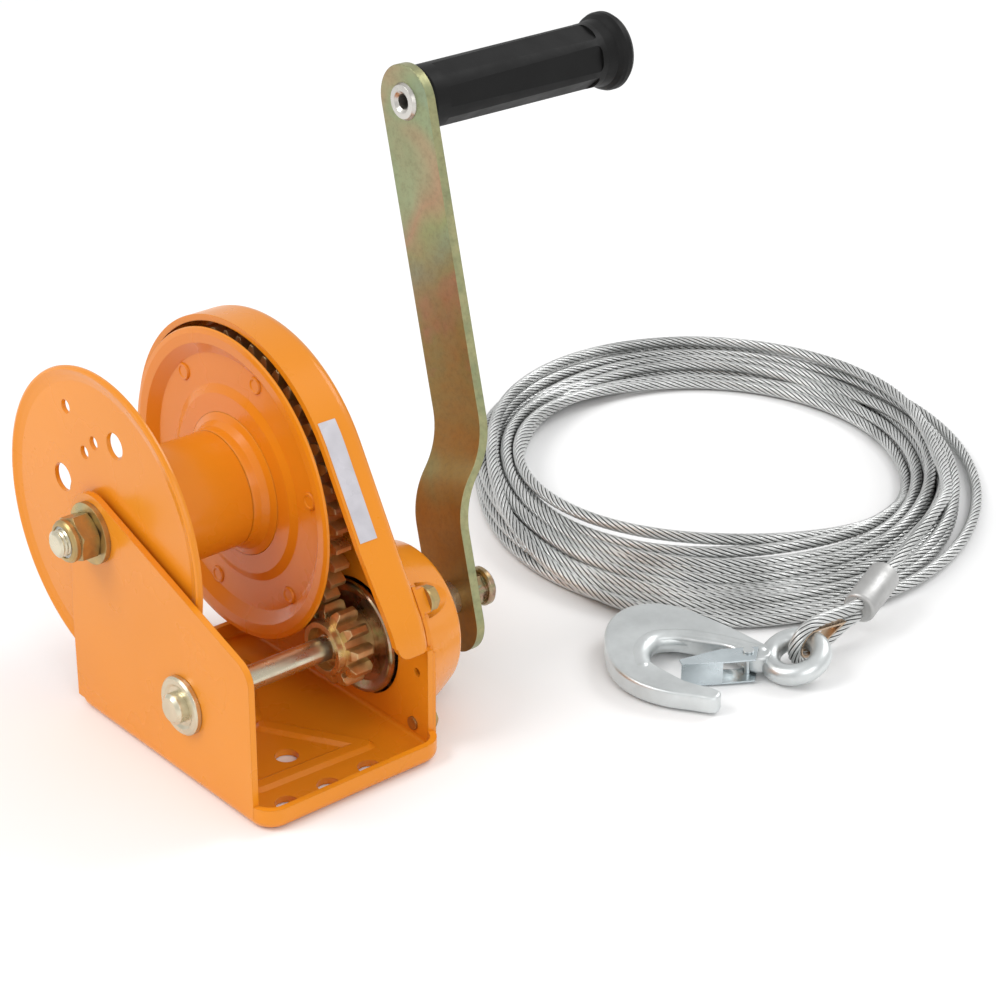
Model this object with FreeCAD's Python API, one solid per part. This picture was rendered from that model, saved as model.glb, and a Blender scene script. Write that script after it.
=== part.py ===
import FreeCAD, Part
import math
import os

# Geared hand winch for a boat trailer, with an automatic load brake, and its wire rope and hook.
# Millimetres.  Origin at the middle of the base, on the mounting plane.  +Z up,
# +X towards the pinion and the open front end, +Y along the drum axle towards the crank.

V = FreeCAD.Vector
Y_AXIS = V(0, 1, 0)
Z_AXIS = V(0, 0, 1)

# ---------------------------------------------------------------- driving dimensions
SHEET = 3.0                    # frame sheet thickness
BASE_LENGTH = 146.0            # over the two lips, along X
BASE_WIDTH = 97.0              # over the two side plates, along Y
LIP_HEIGHT = 10.0
BEND_R = 4.5                   # outside radius of the folds
CORNER_R = 10.5                # corners of the floor, seen from above
RIB_WIDTH = 11.0
RIB_HEIGHT = 1.5
RIB_CORNER = (46.0, 24.0)      # where two floor ribs meet
PLATE_FRONT = 64.0             # front edge of both side plates
PLATE_REAR = -69.5             # rear edge of both side plates
HALF_WIDTH = BASE_WIDTH / 2
INNER_Y = HALF_WIDTH - SHEET
HOLE_R = 5.25                  # mounting holes in the floor
HOLE_Y = (-29.0, -7.0, 15.0)
HOLE_X = 61.0
INNER_HOLE_X = 31.0

MODULE = 3.0
GEAR_TEETH = 46
PINION_TEETH = 11
PROFILE_SHIFT = 0.25           # of the pinion; the gear has the opposite shift
PRESSURE_ANGLE = math.radians(20)
BACKLASH = 0.35                # thinning of each tooth at the pitch circle
GEAR_DISTANCE = MODULE * (GEAR_TEETH + PINION_TEETH) / 2
SHAFT_X = 16.0
SHAFT_Z = 38.0
AXES_ANGLE = math.radians(138.4)   # direction from the pinion shaft to the drum axle
DRUM_X = SHAFT_X + GEAR_DISTANCE * math.cos(AXES_ANGLE)
DRUM_Z = SHAFT_Z + GEAR_DISTANCE * math.sin(AXES_ANGLE)

AXLE_R = 6.0                   # drum axle, M12
SHAFT_R = 5.5                  # pinion shaft between the plates
THREAD_R = 6.0                 # threaded end of the pinion shaft
RUNNING = 0.05                 # radial clearance of a running fit
BUSH_R = 9.0                   # outside of the drum bushes
SHAFT_BUSH_R = 8.0
BARREL_R = 27.0
BARREL_WALL = 3.0
FLANGE_R = 72.8
NEAR_FLANGE_Y = -43.0          # outer face of the near flange
FLANGE_SHEET = 2.0
GEAR_Y = 29.0                  # gear face that the far flange lies on
GEAR_WIDTH = 8.0
PINION_Y = (28.0, 39.5)

GUARD_R = 77.5                 # outside of the guard rim
GUARD_RIM_Y = 27.0             # free edge of the rim at its top
GUARD_RIM_Z = 50.0             # the rim ends here; below it the plate is flat
BRAKE_HOLE_R = 27.5
COVER_FLANGE_R = 47.0
COVER_SHEET = 1.8
COVER_FACE_Y = 78.0
COVER_BOLTS = ((50.0, 66.5, 54.3), (53.5, 9.6, 50.3), (-27.0, 57.0, 50.3))   # x, z and seat of the head
COVER_POCKET_R = 8.5
COVER_BOSS_R = 6.4
COVER_INSET = 3.5              # the cover's flange keeps this far inside the plate's outline

RATCHET_TEETH = 12
RATCHET_TIP_R = 27.5
RATCHET_ROOT_R = 23.5
RATCHET_Y = (50.1, 56.1)
RATCHET_FACE = math.radians(72)    # angle of the tooth face that meets the pawl
PAWL_ANGLE = math.radians(112)
PAWL_CIRCLE_R = 34.5
PAWL_PIN_R = 3.0
PAWL_X = SHAFT_X + PAWL_CIRCLE_R * math.cos(PAWL_ANGLE)
PAWL_Z = SHAFT_Z + PAWL_CIRCLE_R * math.sin(PAWL_ANGLE)

CRANK_LENGTH = 224.0           # shaft to grip, centre to centre
CRANK_LEAN = math.radians(14.3)    # lean of the arm from the vertical, towards -X
ARM_WIDTH = 33.0
ARM_SHEET = 4.5
ARM_LOW_Y = 98.0               # near face of the arm at the hub
ARM_STEP = 20.0                # joggle between the hub end and the grip end
ARM_TAIL = 9.5                 # the arm runs on below the hub by this much plus its end radius
HUB_END_R = 8.0
TENON_R = 6.9
SPINDLE_R = 5.0
GRIP_R = 15.0
GRIP_Y = (124.0, 240.0)
GRIP_X = SHAFT_X - CRANK_LENGTH * math.sin(CRANK_LEAN)
GRIP_Z = SHAFT_Z + CRANK_LENGTH * math.cos(CRANK_LEAN)

ROPE_D = 6.0
ROPE_LENGTH = 10000.0
COIL_TURN = math.radians(49)   # turn of the coil's two axes about Z
COIL_OUTER = (225.5, 256.5, 132.0, 168.0)   # centre and half axes of the outside, along the turned axes
COIL_INNER = (218.5, 259.0, 100.0, 111.0)   # the same for the open middle
COIL_HEIGHT = 25.0

HOOK_THICK = 9.0
HOOK_TILT = math.radians(3)
HOOK_DROP = 2.0                # the hook's body lies this much lower than the middle of its ring
RING_TWIST = 20.0              # degrees; the side of the ring towards the ferrule is raised
EYE_R = 12.0                   # centre line of the hook's eye
EYE_BAR_R = 5.0
HOOK_ORIGIN = V(121.0, 217.0, 9.7)


# ---------------------------------------------------------------- helpers
def save(name, shape):
    """Write one sub-part to its STEP file."""
    if len(shape.Solids) == 1:
        shape = shape.Solids[0]
    shape.exportStep("parts/%s.step" % name)
    box = shape.BoundBox
    state = "ok" if shape.isValid() else "INVALID"
    print("%-20s %-7s solids %2d  volume %9.0f  z %6.1f to %6.1f" % (
        name, state, len(shape.Solids), shape.Volume, box.ZMin, box.ZMax))


def rod(radius, y0, y1, x, z):
    """Cylinder along Y."""
    return Part.makeCylinder(radius, y1 - y0, V(x, y0, z), Y_AXIS)


def tube(outer, inner, y0, y1, x, z):
    """Ring along Y."""
    return rod(outer, y0, y1, x, z).cut(rod(inner, y0 - 1, y1 + 1, x, z))


def turned(profile, x, z):
    """Solid of revolution about a line along Y; the profile is a list of (radius, y)."""
    points = [V(x + radius, y, z) for radius, y in profile]
    face = Part.Face(Part.makePolygon(points + points[:1]))
    return face.revolve(V(x, 0, z), Y_AXIS, 360)


def slab(wire, y0, y1):
    """Extrude a closed wire drawn at y = 0 from y0 to y1."""
    face = Part.Face(wire)
    face.translate(V(0, y0, 0))
    return face.extrude(V(0, y1 - y0, 0))


def polar(x, z, radius, angle):
    """Point in the plane y = 0."""
    return V(x + radius * math.cos(angle), 0, z + radius * math.sin(angle))


def belt(circles, inset=0.0):
    """Closed outline round circles (x, z, radius), listed anticlockwise: arcs and tangents."""
    rounds = [(x, z, radius - inset) for x, z, radius in circles]
    count = len(rounds)
    normals = []
    for i in range(count):
        xa, za, ra = rounds[i]
        xb, zb, rb = rounds[(i + 1) % count]
        span = math.hypot(xb - xa, zb - za)
        normals.append(math.atan2(zb - za, xb - xa) - math.acos((ra - rb) / span))
    edges = []
    for i in range(count):
        x, z, radius = rounds[i]
        begin = normals[i - 1]
        sweep = (normals[i] - begin) % (2 * math.pi)
        first, middle, last = [polar(x, z, radius, begin + sweep * part) for part in (0, 0.5, 1)]
        edges.append(Part.Arc(first, middle, last).toShape())
        xn, zn, rn = rounds[(i + 1) % count]
        edges.append(Part.makeLine(last, polar(xn, zn, rn, normals[i])))
    return Part.Wire(edges)


def hexagon_nut(across_flats, y0, y1, x, z, turn=0.0):
    """Hexagonal prism along Y whose corners are turned off at both ends."""
    corner_r = across_flats / math.sqrt(3)
    flat_r = across_flats / 2 * 0.97
    run = (corner_r - flat_r) * 0.5
    corners = [polar(x, z, corner_r, turn + math.pi / 3 * i) for i in range(7)]
    limits = turned([(0, y0), (flat_r, y0), (corner_r + 0.1, y0 + run),
                     (corner_r + 0.1, y1 - run), (flat_r, y1), (0, y1)], x, z)
    return slab(Part.makePolygon(corners), y0, y1).common(limits)


def box(x0, x1, y0, y1, z0, z1):
    return Part.makeBox(x1 - x0, y1 - y0, z1 - z0, V(x0, y0, z0))


def rounded_box(x0, x1, y0, y1, z0, z1, radius, edge_axis):
    """Box with its edges along one axis rounded."""
    block = box(x0, x1, y0, y1, z0, z1)
    edges = [e for e in block.Edges if abs(e.tangentAt(e.FirstParameter).dot(edge_axis)) > 0.99]
    return block.makeFillet(radius, edges)


def circle_edges(shape, radius, y):
    """Circular edges of a given radius in the plane y."""
    found = []
    for edge in shape.Edges:
        curve = edge.Curve
        if isinstance(curve, Part.Circle) and abs(curve.Radius - radius) < 0.01:
            if abs(curve.Center.y - y) < 0.01:
                found.append(edge)
    return found


# ---------------------------------------------------------------- frame
def near_plate_outline():
    """Boss round the axle, sloping top, rounded corner, upright front, stepped-in rear."""
    return belt([(DRUM_X, DRUM_Z, 17.5),
                 (PLATE_REAR + 0.5, 50.0, 0.5),
                 (PLATE_REAR + 0.5, 0.5, 0.5),
                 (PLATE_FRONT - 0.5, 0.5, 0.5),
                 (PLATE_FRONT - 11.0, 66.0, 11.0)])


def floor_pan():
    """Floor whose lips run round the rounded corners, pressed from one sheet."""
    half = BASE_LENGTH / 2
    outer = rounded_box(-half, half, -HALF_WIDTH, HALF_WIDTH, 0, LIP_HEIGHT, CORNER_R, Z_AXIS)
    outer = outer.makeFillet(BEND_R, [e for e in outer.Edges if e.BoundBox.ZMax < 0.01])
    inner = rounded_box(SHEET - half, half - SHEET, -INNER_Y, INNER_Y, SHEET, 40, CORNER_R - SHEET, Z_AXIS)
    inner = inner.makeFillet(BEND_R - SHEET, [e for e in inner.Edges if e.BoundBox.ZMax < SHEET + 0.01])
    pan_body = outer.cut(inner)
    return pan_body.cut(box(PLATE_REAR, PLATE_FRONT, INNER_Y - 0.1, HALF_WIDTH + 1, BEND_R + 1, 40))


def floor_rib(start, end):
    """Long pressed rib with sloping sides that stands up from the floor."""
    along = V(end[0] - start[0], end[1] - start[1], 0)
    low, high, bottom = RIB_WIDTH / 2, RIB_WIDTH / 2 - 3.0, SHEET - 0.5
    side = [V(0, -low, bottom), V(0, low, bottom), V(0, high, SHEET + RIB_HEIGHT),
            V(0, -high, SHEET + RIB_HEIGHT), V(0, -low, bottom)]
    rib = Part.Face(Part.makePolygon(side)).extrude(V(along.Length, 0, 0))
    rib.rotate(V(0, 0, 0), Z_AXIS, math.degrees(math.atan2(along.y, along.x)))
    rib.translate(V(start[0], start[1], 0))
    ends = [Part.makeCone(low, high, RIB_HEIGHT + 0.5, V(x, y, bottom)) for x, y in (start, end)]
    return rib.fuse(ends)


def base_channel():
    """Floor, lips and near side plate, folded from one sheet."""
    near = slab(near_plate_outline(), -HALF_WIDTH, -INNER_Y)
    near = near.common(box(-200, 200, -200, 200, BEND_R, 300))
    ribs = []
    for side in (-1, 1):
        ribs.append(floor_rib((side * RIB_CORNER[0], RIB_CORNER[1]), (side * 5.0, 0.0)))
        ribs.append(floor_rib((side * RIB_CORNER[0], RIB_CORNER[1]), (side * 43.5, -31.0)))
    body = floor_pan().fuse([near] + ribs)
    holes = [(x, y) for x in (-HOLE_X, HOLE_X) for y in HOLE_Y]
    holes += [(x, HOLE_Y[1]) for x in (-INNER_HOLE_X, INNER_HOLE_X)]
    for x, y in holes:
        body = body.cut(Part.makeCylinder(HOLE_R, 10, V(x, y, -2)))
    body = body.cut(rod(AXLE_R + 0.1, -60, -40, DRUM_X, DRUM_Z))
    body = body.cut(rod(SHAFT_BUSH_R, -60, -40, SHAFT_X, SHAFT_Z))
    return body.removeSplitter()


def guard_circles():
    return [(DRUM_X, DRUM_Z, GUARD_R),
            (PLATE_REAR + 12.0, -20.0, 12.0),
            (PLATE_FRONT - 12.0, -20.0, 12.0),
            (PLATE_FRONT - 40.0, 46.0, 40.0)]


def guard_pan():
    """Shallow pan: the gear-side plate with its rim all round."""
    outer = slab(belt(guard_circles()), GUARD_RIM_Y, HALF_WIDTH)
    outer = outer.makeFillet(6.0, [e for e in outer.Edges if e.BoundBox.YMin > HALF_WIDTH - 0.01])
    inner = slab(belt(guard_circles(), SHEET), GUARD_RIM_Y - 1, INNER_Y)
    inner = inner.makeFillet(3.0, [e for e in inner.Edges if e.BoundBox.YMin > INNER_Y - 0.01])
    return outer.cut(inner)


def gear_guard():
    """Gear-side plate with the rim that guards the big gear."""
    plate = slab(belt(guard_circles()), INNER_Y, HALF_WIDTH)
    plate = plate.common(box(-300, 300, 0, 100, BEND_R + 1, GUARD_RIM_Z))
    body = guard_pan().common(box(-300, 300, 0, 100, GUARD_RIM_Z, 400)).fuse(plate)
    body = body.cut(rod(BRAKE_HOLE_R, 40, 60, SHAFT_X, SHAFT_Z))
    body = body.cut(rod(AXLE_R + 0.1, 30, 60, DRUM_X, DRUM_Z))
    body = body.cut(rod(PAWL_PIN_R, 40, 60, PAWL_X, PAWL_Z))
    for x, z, _ in COVER_BOLTS:
        body = body.cut(rod(3.1, 40, 60, x, z))
    body = body.cut(rod(2.0, 40, 60, 56.5, 36.5))
    # the free edge of the rim slopes back towards the front foot, and its end is rounded
    corners = ((GUARD_RIM_Y - 9, 95), (GUARD_RIM_Y, 95), (GUARD_RIM_Y + 3.5, 40), (GUARD_RIM_Y - 9, 40))
    slope = Part.makePolygon([V(0, y, z) for y, z in corners + corners[:1]])
    body = body.cut(Part.Face(slope).extrude(V(120, 0, 0)))
    corner = box(30, 80, 28, 36.5, GUARD_RIM_Z, GUARD_RIM_Z + 6)
    corner = corner.cut(Part.makeCylinder(6.2, 60, V(25, 36.4, GUARD_RIM_Z + 6.2), V(1, 0, 0)))
    return body.cut(corner).removeSplitter()


def cover_shell(shrink, pocket_r):
    """Solid inside of the brake cover's skin at a distance from the outer surface."""
    face = COVER_FACE_Y - shrink
    body = turned([(0, HALF_WIDTH), (45.5 - shrink, HALF_WIDTH), (45.0 - shrink, 52.0),
                   (33.5 - shrink, face), (0, face)], SHAFT_X, SHAFT_Z)
    body = body.makeFillet(7.0 - shrink, circle_edges(body, 33.5 - shrink, face))
    for x, z, seat in COVER_BOLTS:
        body = body.cut(rod(pocket_r, seat - shrink, 100, x, z))
    return body


def brake_cover():
    """Pressed dome over the load brake, with a flat flange and a boss under the upper bolt."""
    top = HALF_WIDTH + COVER_SHEET
    flange = rod(COVER_FLANGE_R, HALF_WIDTH, top, SHAFT_X, SHAFT_Z)
    flange = flange.fuse(box(SHAFT_X + 18, PLATE_FRONT - 0.5, HALF_WIDTH, top, 1.5, SHAFT_Z + 10))
    for x, z, seat in COVER_BOLTS:
        flange = flange.fuse(rod(8.0, HALF_WIDTH, top, x, z))
        flange = flange.fuse(rod(COVER_BOSS_R, HALF_WIDTH, seat, x, z))
    upper = slab(belt(guard_circles(), COVER_INSET), HALF_WIDTH, 60).common(box(-200, 200, 0, 100, GUARD_RIM_Z, 200))
    lower = box(-200, PLATE_FRONT - 0.5, 0, 100, 1.5, GUARD_RIM_Z)
    flange = flange.common(upper.fuse(lower))
    outer = cover_shell(0.0, COVER_POCKET_R).common(box(-200, 200, 0, 100, BEND_R + 2, 200))
    skin = flange.fuse(outer)
    inner = cover_shell(COVER_SHEET, COVER_POCKET_R + COVER_SHEET)
    inner = inner.common(box(-200, 200, 0, 100, BEND_R + 2 + COVER_SHEET, 200))
    skin = skin.cut(inner)
    skin = skin.cut(rod(14.0, 60, 90, SHAFT_X, SHAFT_Z))
    for x, z, _ in COVER_BOLTS:
        skin = skin.cut(rod(3.1, 40, 60, x, z))
    return skin.removeSplitter()


def cover_bolts():
    """M6 hexagon bolts that screw into the gear-side plate from outside."""
    bolts = []
    for x, z, seat in COVER_BOLTS:
        shank = rod(3.0, INNER_Y - 0.8, seat + 1.2, x, z)
        head = hexagon_nut(10.0, seat + 1.2, seat + 5.4, x, z, 0.2)
        bolts.append(shank.fuse(head))
    return Part.makeCompound(bolts)


def cover_washers():
    return Part.makeCompound([tube(6.2, 3.1, seat, seat + 1.2, x, z) for x, z, seat in COVER_BOLTS])


AXLE_END_Y = -67.6
THREAD_PITCH = 1.75


def drum_axle():
    """M12 hexagon bolt that the drum turns on."""
    tip = [(0, AXLE_END_Y), (AXLE_R - 1.4, AXLE_END_Y)]
    for turn in range(3):
        tip += [(AXLE_R, AXLE_END_Y + 0.9 + THREAD_PITCH * turn),
                (AXLE_R - 0.8, AXLE_END_Y + 0.9 + THREAD_PITCH * (turn + 0.5))]
    shank = turned(tip + [(AXLE_R, AXLE_END_Y + 0.9 + THREAD_PITCH * 3), (AXLE_R, HALF_WIDTH + 2.5),
                          (0, HALF_WIDTH + 2.5)], DRUM_X, DRUM_Z)
    head = hexagon_nut(19.0, HALF_WIDTH + 2.5, HALF_WIDTH + 10.0, DRUM_X, DRUM_Z)
    return shank.fuse(head).removeSplitter()


def axle_washers():
    near = tube(14.0, AXLE_R + 0.1, -HALF_WIDTH - 2.5, -HALF_WIDTH, DRUM_X, DRUM_Z)
    far = tube(14.0, AXLE_R + 0.1, HALF_WIDTH, HALF_WIDTH + 2.5, DRUM_X, DRUM_Z)
    return Part.makeCompound([near, far])


def axle_nut():
    """Lock nut: hexagon with a round collar that holds the insert ring."""
    y0 = -HALF_WIDTH - 2.5
    body = hexagon_nut(19.0, y0 - 9.0, y0, DRUM_X, DRUM_Z, 0.35)
    collar = turned([(0, y0 - 9.0), (8.9, y0 - 9.0), (9.6, y0 - 9.6), (9.6, y0 - 11.4), (8.9, y0 - 12.5),
                     (7.9, y0 - 12.9), (0, y0 - 12.9)],
                    DRUM_X, DRUM_Z)
    nut = body.fuse(collar)
    nut = nut.cut(rod(AXLE_R, y0 - 20, y0 + 1, DRUM_X, DRUM_Z))
    return nut.cut(rod(7.2, y0 - 13, y0 - 10.0, DRUM_X, DRUM_Z))


def axle_nut_insert():
    y0 = -HALF_WIDTH - 2.5
    return tube(7.2, AXLE_R, y0 - 12.2, y0 - 10.0, DRUM_X, DRUM_Z)


def axle_spacers():
    """Two distance rings that keep the drum in the middle."""
    near = tube(10.0, AXLE_R + 0.1, -INNER_Y, NEAR_FLANGE_Y - 0.4, DRUM_X, DRUM_Z)
    far = tube(10.0, AXLE_R + 0.1, GEAR_Y + GEAR_WIDTH + 0.3, INNER_Y, DRUM_X, DRUM_Z)
    return Part.makeCompound([near, far])


def shaft_bush():
    """Flanged bush of the pinion shaft in the near plate."""
    sleeve = rod(SHAFT_BUSH_R, -HALF_WIDTH, -INNER_Y, SHAFT_X, SHAFT_Z)
    collar = rod(10.5, -INNER_Y, -INNER_Y + 1.5, SHAFT_X, SHAFT_Z)
    return sleeve.fuse(collar).cut(rod(SHAFT_R + RUNNING, -60, -30, SHAFT_X, SHAFT_Z))


def cover_bush():
    """Bush in the cover that carries the drive hub."""
    return tube(14.0, 11.0 + RUNNING, COVER_FACE_Y - 6.0, COVER_FACE_Y + 1.0, SHAFT_X, SHAFT_Z)


def pawl_pin():
    """Pin of the pawl, riveted into the gear-side plate, with a head at its free end."""
    pin = rod(PAWL_PIN_R, INNER_Y, 60.0, PAWL_X, PAWL_Z)
    head = rod(3.9, 59.0, 60.0, PAWL_X, PAWL_Z)
    foot = rod(5.0, HALF_WIDTH, HALF_WIDTH + 1.6, PAWL_X, PAWL_Z)
    return pin.fuse([head, foot])


def pawl_spring():
    """Torsion spring round the pawl pin."""
    wire_r, coil_r = 0.4, 3.7
    helix = Part.Wire(Part.makeHelix(1.0, 2.0, coil_r))
    section = Part.Wire(Part.makeCircle(wire_r, V(coil_r, 0, 0), Y_AXIS))
    spring = helix.makePipeShell([section], True, True)
    spring.rotate(V(0, 0, 0), V(1, 0, 0), -90)
    spring.translate(V(PAWL_X, 56.5, PAWL_Z))
    return spring


def warning_label():
    """Thin label on the sloping outside of the guard rim."""
    skin = slab(belt(guard_circles(), -0.25), 28.6, 37.6).cut(slab(belt(guard_circles()), 20, 60))
    normal = math.radians(32)
    along = V(-math.sin(normal), 0, math.cos(normal))
    middle = V(27.0, 0, 122.0)
    corners = [middle + along * (27 * a) + V(math.cos(normal), 0, math.sin(normal)) * (14 * b)
               for a, b in ((-1, -1), (1, -1), (1, 1), (-1, 1), (-1, -1))]
    return skin.common(slab(Part.makePolygon(corners), 20, 50))


# ---------------------------------------------------------------- drum
def involute(angle):
    return math.tan(angle) - angle


def gear_outline(teeth, shift, tip_r, root_r, x, z, tooth_at):
    """Outline of a spur gear with one tooth centred on the angle tooth_at."""
    pitch_r = MODULE * teeth / 2
    base_r = pitch_r * math.cos(PRESSURE_ANGLE)
    half = math.pi / 2 / teeth + 2 * shift * math.tan(PRESSURE_ANGLE) / teeth - BACKLASH / 2 / pitch_r
    low_r = max(base_r, root_r + 0.2)

    def flank(radius):
        """Half the tooth's angle at a radius."""
        return half + involute(PRESSURE_ANGLE) - involute(math.acos(min(1.0, base_r / radius)))

    mid_r = (low_r + tip_r) / 2
    edges = []
    for i in range(teeth):
        middle = tooth_at + 2 * math.pi * i / teeth
        following = middle + 2 * math.pi / teeth
        foot_a, foot_b = [polar(x, z, root_r, middle + s * flank(low_r)) for s in (-1, 1)]
        low_a, low_b = [polar(x, z, low_r, middle + s * flank(low_r)) for s in (-1, 1)]
        mid_a, mid_b = [polar(x, z, mid_r, middle + s * flank(mid_r)) for s in (-1, 1)]
        tip_a, tip_b = [polar(x, z, tip_r, middle + s * flank(tip_r)) for s in (-1, 1)]
        next_foot = polar(x, z, root_r, following - flank(low_r))
        edges += [Part.makeLine(foot_a, low_a),
                  Part.Arc(low_a, mid_a, tip_a).toShape(),
                  Part.makeLine(tip_a, tip_b),
                  Part.Arc(tip_b, mid_b, low_b).toShape(),
                  Part.makeLine(low_b, foot_b),
                  Part.makeLine(foot_b, next_foot)]
    return Part.Wire(edges)


def drum_gear():
    """Big stamped gear, with a tooth gap at the line of centres."""
    gap_at = AXES_ANGLE - math.pi
    tooth_at = gap_at + math.pi / GEAR_TEETH
    pitch_r = MODULE * GEAR_TEETH / 2
    wire = gear_outline(GEAR_TEETH, -PROFILE_SHIFT, pitch_r + 2.0, pitch_r - 4.2, DRUM_X, DRUM_Z, tooth_at)
    gear = slab(wire, GEAR_Y, GEAR_Y + GEAR_WIDTH)
    for hole in RIVET_ANGLES:
        centre = polar(DRUM_X, DRUM_Z, RIVET_CIRCLE_R, hole)
        gear = gear.cut(rod(3.0, 0, 60, centre.x, centre.z))
    return gear.cut(rod(BUSH_R, 0, 60, DRUM_X, DRUM_Z))


RIVET_CIRCLE_R = 56.0
RIVET_ANGLES = [math.radians(12 + 60 * i) for i in range(6)]


def drum_barrel():
    """Tube between the two flanges."""
    return tube(BARREL_R, BARREL_R - BARREL_WALL, NEAR_FLANGE_Y + FLANGE_SHEET, 25.2, DRUM_X, DRUM_Z)


def near_flange():
    """Flat flange with a rolled rim and rope-anchor holes."""
    y = NEAR_FLANGE_Y
    sheet = FLANGE_SHEET
    disc = turned([(BUSH_R, y), (66.0, y), (68.8, y - 0.7), (FLANGE_R - 1.6, y - 1.6), (FLANGE_R - 0.5, y - 1.3),
                   (FLANGE_R, y - 0.1), (FLANGE_R - 0.3, y + 1.1), (FLANGE_R - 1.5, y + 1.7), (69.4, y + 1.5),
                   (66.5, y + sheet), (BUSH_R, y + sheet)],
                  DRUM_X, DRUM_Z)
    holes = ((54.9, 116.6, 3.2), (45.5, 73.6, 6.0), (39.3, 95.5, 3.0), (34.0, 110.0, 3.0), (33.5, 157.0, 6.5))
    for radius, degrees, hole_r in holes:
        centre = polar(DRUM_X, DRUM_Z, radius, math.radians(degrees))
        disc = disc.cut(rod(hole_r, y - 5, y + 5, centre.x, centre.z))
    return disc


def far_flange():
    """Pressed flange riveted to the gear, with concentric steps and a flared rim."""
    y = GEAR_Y
    sheet = FLANGE_SHEET
    front = [(BARREL_R - BARREL_WALL, y - 3.8), (42.0, y - 3.8), (46.0, y - sheet), (60.0, y - sheet),
             (65.5, y - 6.2), (70.0, y - 6.6), (FLANGE_R - 0.6, y - 6.2)]
    back = [(FLANGE_R, y - 5.2), (70.4, y - 4.6), (66.6, y - 4.2), (61.4, y), (45.0, y), (41.0, y - 1.8),
            (BARREL_R - BARREL_WALL, y - 1.8)]
    disc = turned(front + back, DRUM_X, DRUM_Z)
    for hole in RIVET_ANGLES:
        centre = polar(DRUM_X, DRUM_Z, RIVET_CIRCLE_R, hole)
        disc = disc.cut(rod(3.0, 0, 60, centre.x, centre.z))
    return disc


def flange_rivets():
    """Rivets through the far flange and the gear, with low round heads."""
    rivets = []
    y = GEAR_Y - FLANGE_SHEET
    for hole in RIVET_ANGLES:
        centre = polar(DRUM_X, DRUM_Z, RIVET_CIRCLE_R, hole)
        rivets.append(turned([(0, y - 0.5), (2.4, y - 0.5), (2.9, y - 0.9), (3.7, y - 0.9), (4.2, y), (3.0, y),
                              (3.0, y + 2 + GEAR_WIDTH), (0, y + 2 + GEAR_WIDTH)], centre.x, centre.z))
    return Part.makeCompound(rivets)


def drum_bushes():
    """Plain bearing rings in the near flange and in the gear."""
    near = tube(BUSH_R, AXLE_R + RUNNING, NEAR_FLANGE_Y, NEAR_FLANGE_Y + 10.0, DRUM_X, DRUM_Z)
    far = tube(BUSH_R, AXLE_R + RUNNING, GEAR_Y - 3.0, GEAR_Y + GEAR_WIDTH, DRUM_X, DRUM_Z)
    return Part.makeCompound([near, far])


def barrel_welds():
    """Fillet welds where the barrel meets the two flanges."""
    near = turned([(BARREL_R, NEAR_FLANGE_Y + 2.0), (BARREL_R + 3.0, NEAR_FLANGE_Y + 2.0),
                   (BARREL_R + 1.2, NEAR_FLANGE_Y + 3.2), (BARREL_R, NEAR_FLANGE_Y + 5.0)], DRUM_X, DRUM_Z)
    far = turned([(BARREL_R, 25.2), (BARREL_R + 6.5, 25.2), (BARREL_R + 3.0, 23.6), (BARREL_R + 1.0, 20.5), (BARREL_R, 16.5)],
                 DRUM_X, DRUM_Z)
    return Part.makeCompound([near, far])


# ---------------------------------------------------------------- pinion shaft
SHAFT_HEAD_Y = -56.0
SHAFT_END_Y = 119.4


def pinion_shaft():
    """Shaft with a round head at the near plate and a stepped, threaded far end."""
    profile = [(0, SHAFT_HEAD_Y), (5.4, SHAFT_HEAD_Y), (6.9, SHAFT_HEAD_Y + 1.5), (6.9, -50.7), (SHAFT_R, -50.7),
               (SHAFT_R, 27.0), (THREAD_R, 27.0), (THREAD_R, 103.0), (5.0, 103.0), (5.0, SHAFT_END_Y - 1.0),
               (4.2, SHAFT_END_Y), (0, SHAFT_END_Y)]
    return turned(profile, SHAFT_X, SHAFT_Z)


def shaft_washer():
    """Dished washer with a rounded outer edge and a sunk middle."""
    return turned([(SHAFT_R, -50.7), (8.8, -50.7), (10.2, -51.6), (12.4, -51.6), (13.3, -50.7), (13.3, -48.7),
                   (SHAFT_R, -48.7)], SHAFT_X, SHAFT_Z)


def pinion():
    """Small gear with a cupped collar on its near side."""
    pitch_r = MODULE * PINION_TEETH / 2
    wire = gear_outline(PINION_TEETH, PROFILE_SHIFT, pitch_r + 2.7, pitch_r - 3.0, SHAFT_X, SHAFT_Z, AXES_ANGLE)
    body = slab(wire, PINION_Y[0], PINION_Y[1])
    limits = turned([(0, PINION_Y[0]), (16.8, PINION_Y[0]), (19.4, PINION_Y[0] + 2.0), (19.4, PINION_Y[1] - 1.2),
                     (18.2, PINION_Y[1]), (0, PINION_Y[1])], SHAFT_X, SHAFT_Z)
    collar = tube(12.5, 10.0, PINION_Y[0] - 3.5, PINION_Y[0] + 1.0, SHAFT_X, SHAFT_Z)
    hub = rod(12.0, PINION_Y[1], 44.6, SHAFT_X, SHAFT_Z)
    body = body.common(limits).cut(rod(10.0, PINION_Y[0] - 1, PINION_Y[0] + 1.5, SHAFT_X, SHAFT_Z))
    return body.fuse([collar, hub]).cut(rod(THREAD_R, 10, 60, SHAFT_X, SHAFT_Z)).removeSplitter()


SLEEVE_R = 9.0


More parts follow.
